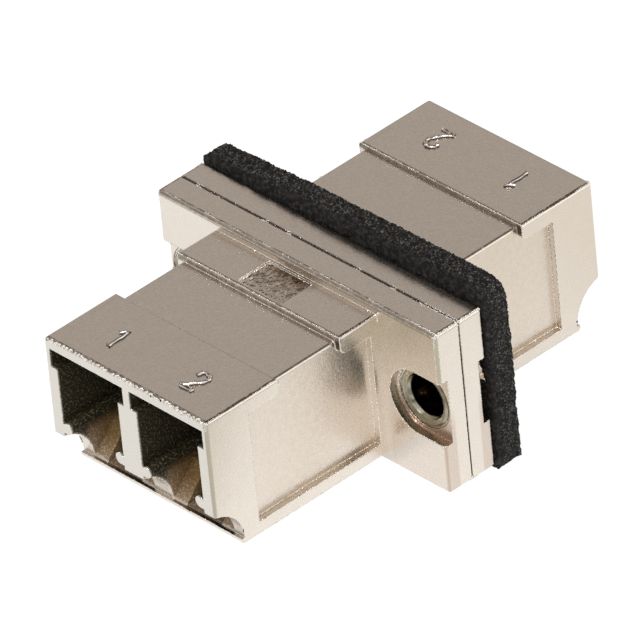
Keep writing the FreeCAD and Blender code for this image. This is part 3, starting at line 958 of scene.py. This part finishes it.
# %% Foam skin
FOAM_FACE = 0.088           # mm across one face of the remeshed skin
CELL = 0.23                 # mm across one cell of the foam
CELL_DEPTH = 0.13
CELL_SLOPE = 1.6            # how steeply a cell's wall goes down
TEAR = 0.75                 # mm between tears along an edge
TEAR_DEPTH = 0.1
TEAR_SPREAD = 0.1           # a larger value tears more of the surface


def remeshed(node, face):
    """A merged copy of a CAD node with an even skin, in millimetres."""
    work = bmesh.new()
    work.from_mesh(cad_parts[node].data)
    bmesh.ops.remove_doubles(work, verts=work.verts, dist=MERGE)
    bmesh.ops.scale(work, verts=work.verts, vec=(1 / MM, 1 / MM, 1 / MM))
    mesh = bpy.data.meshes.new(node + "_skin")
    work.to_mesh(mesh)
    work.free()
    holder = bpy.data.objects.new(node + "_skin", mesh)
    bpy.context.scene.collection.objects.link(holder)
    skin = holder.modifiers.new("skin", "REMESH")
    skin.mode = "VOXEL"
    skin.voxel_size = face
    return mesh_from(holder)


def cell_depth(place):
    """How deep the foam is open at a place: deep in the middle of a cell, nothing on its wall."""
    near, second = noise.voronoi(place / CELL, distance_metric="DISTANCE")[0][:2]
    cell = min(1.0, (second - near) * CELL_SLOPE)
    tear = max(0.0, noise.noise(place / TEAR) + TEAR_SPREAD)
    return CELL_DEPTH * cell + TEAR_DEPTH * tear


# %% Foam rubber and the gasket
FOAM = ("#0c0b0a", "#242120")       # its two tones
DUST = "#5c5a56"
FLANGE_SHADE_SPAN = (1.95, 2.4)            # mm along the fibres: the painted shade behind the flange ends and the dust shows
DUST_CELL = 0.13                    # mm across the cells that hold dust


def foam_rubber():
    """Black EPDM foam: matt, with dusty open cells, and painted shade behind the flange, where the dust is
    hidden.
    """
    material, tree, shader = new_material("epdm_foam_rubber")
    place = in_millimetres(tree)
    # painted shade: little dust shows close behind the flange
    out_of_shade = remap(tree, parts_of(tree, place)[1], *FLANGE_SHADE_SPAN, 0.15, 1.0)
    from_middle = add(tree, "ShaderNodeTexVoronoi", {"Vector": place,
                                                     "Scale": 1 / DUST_CELL}).outputs["Distance"]
    clouds = cloudy(tree, place, 0.3, 2.0)
    dust = product(tree, remap(tree, from_middle, 0.44, 0.18), out_of_shade,
                   remap(tree, clouds, 0.3, 0.6, 0.2, 1.0))
    black = mixed(tree, remap(tree, clouds, 0.45, 0.65), linear(FOAM[0]), linear(FOAM[1]))
    give(tree, shader, {"Base Color": mixed(tree, dust, black, linear(DUST)), "Roughness": 0.9,
                        "Specular IOR Level": 0.35,
                        "Normal": bump(tree, cloudy(tree, place, 0.08), 0.6, 0.03)})
    return material


def foam_gasket():
    """The gasket, sunk by its cells and tears and held inside the CAD ring's box."""
    mesh = remeshed("panel_gasket", FOAM_FACE)
    low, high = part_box("panel_gasket")
    sunk = [v.co - v.normal * cell_depth(v.co) for v in mesh.vertices]
    for vertex, place in zip(mesh.vertices, sunk):
        vertex.co = [min(max(c * MM, a), b) for c, a, b in zip(place, low, high)]
    for face in mesh.polygons:
        face.use_smooth = True
    gasket = new_piece("foam_gasket", mesh, foam_rubber())
    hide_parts("panel_gasket")


foam_gasket()

# %% [markdown]
# ## Eyelets, sleeves and holders
#
# Two brass eyelets, nickel plated, are rolled over at both ends to hold the halves together. The
# split sleeves deep in the ports are zirconia ceramic, ground and polished, and the holders round
# them are turned brass that was left unplated.

# %% Brass and ceramic of the hidden pieces
BRASS = ("#c9a45c", "#a98442")      # clean, and a little darkened
CERAMIC = ("#f2f1ec", "#e6e4dc")


def turned_brass():
    """Bare brass from the lathe: fine rings, and a second tone where it has darkened."""
    material, tree, shader = new_material("turned_brass")
    place = in_millimetres(tree)
    rings = cloudy(tree, place, 0.12, 2.0, stretch=(0.15, 1, 0.15))
    tone = mixed(tree, cloudy(tree, place, 0.5), linear(BRASS[0]), linear(BRASS[1]))
    give(tree, shader, {"Base Color": tone, "Metallic": 1.0,
                        "Roughness": remap(tree, rings, 0.2, 0.8, 0.25, 0.4),
                        "Normal": bump(tree, rings, 0.3, 0.01)})
    return material


def zirconia():
    """White zirconia ceramic: dense, cool white and polished."""
    material, tree, shader = new_material("zirconia_ceramic")
    place = in_millimetres(tree)
    tone = mixed(tree, cloudy(tree, place, 0.8), linear(CERAMIC[0]), linear(CERAMIC[1]))
    give(tree, shader, {"Base Color": tone, "Roughness": 0.16, "IOR": 2.1})
    return material


# %% Nickel-plated brass of the eyelets
RIM = ("#bdb9a8", "#7f7b68")        # the two tones of the plating
BORE_SHADE_AND_GLINT = ("#1d140d", "#6b4222")       # bare brass, painted near black for the shade in the bore, with reddish patches as painted glints
BORE_EDGE = (1.31, 1.28)            # mm from the eyelet's axis: the bare bore starts and is full


def eyelet_metal():
    """Nickel-plated brass: rolled rings on the head and lip, and inside the bore bare brass painted dark
    for its shade, with reddish painted glints.
    """
    material, tree, shader = new_material("nickel_plated_brass")
    place = in_millimetres(tree)
    x, _, z = parts_of(tree, place)
    section = first_of(tree, "ShaderNodeCombineXYZ", {0: math_of(tree, "ABSOLUTE", x), 1: z})
    radius = number_of(tree, "DISTANCE", section, (EYELET_PLACE, 0, 0))
    plated = mixed(tree, cloudy(tree, place, 0.35), linear(RIM[0]), linear(RIM[1]))
    # painted shade in the bore, with painted glints in reddish patches
    bore = mixed(tree, remap(tree, cloudy(tree, place, 0.4), 0.58, 0.68), linear(BORE_SHADE_AND_GLINT[0]), linear(BORE_SHADE_AND_GLINT[1]))
    outward = first_of(tree, "ShaderNodeCombineXYZ", {0: radius})
    give(tree, shader, {"Base Color": mixed(tree, remap(tree, radius, *BORE_EDGE), plated, bore),
                        "Metallic": 1.0,
                        "Roughness": remap(tree, cloudy(tree, place, 0.15), 0.3, 0.7, 0.12, 0.28),
                        "Normal": bump(tree, cloudy(tree, outward, 0.13, 1.0), 0.7, 0.04)})
    return material


# %% Dress the small pieces
eyelet_finish = eyelet_metal()
for node in ("left_eyelet", "right_eyelet"):
    dress(node, eyelet_finish)
sleeve_finish = zirconia()
holder_finish = turned_brass()
for letter in "ab":
    dress("split_sleeve_" + letter, sleeve_finish)
    for half in ("front", "rear"):
        dress(f"{half}_sleeve_holder_{letter}", holder_finish)
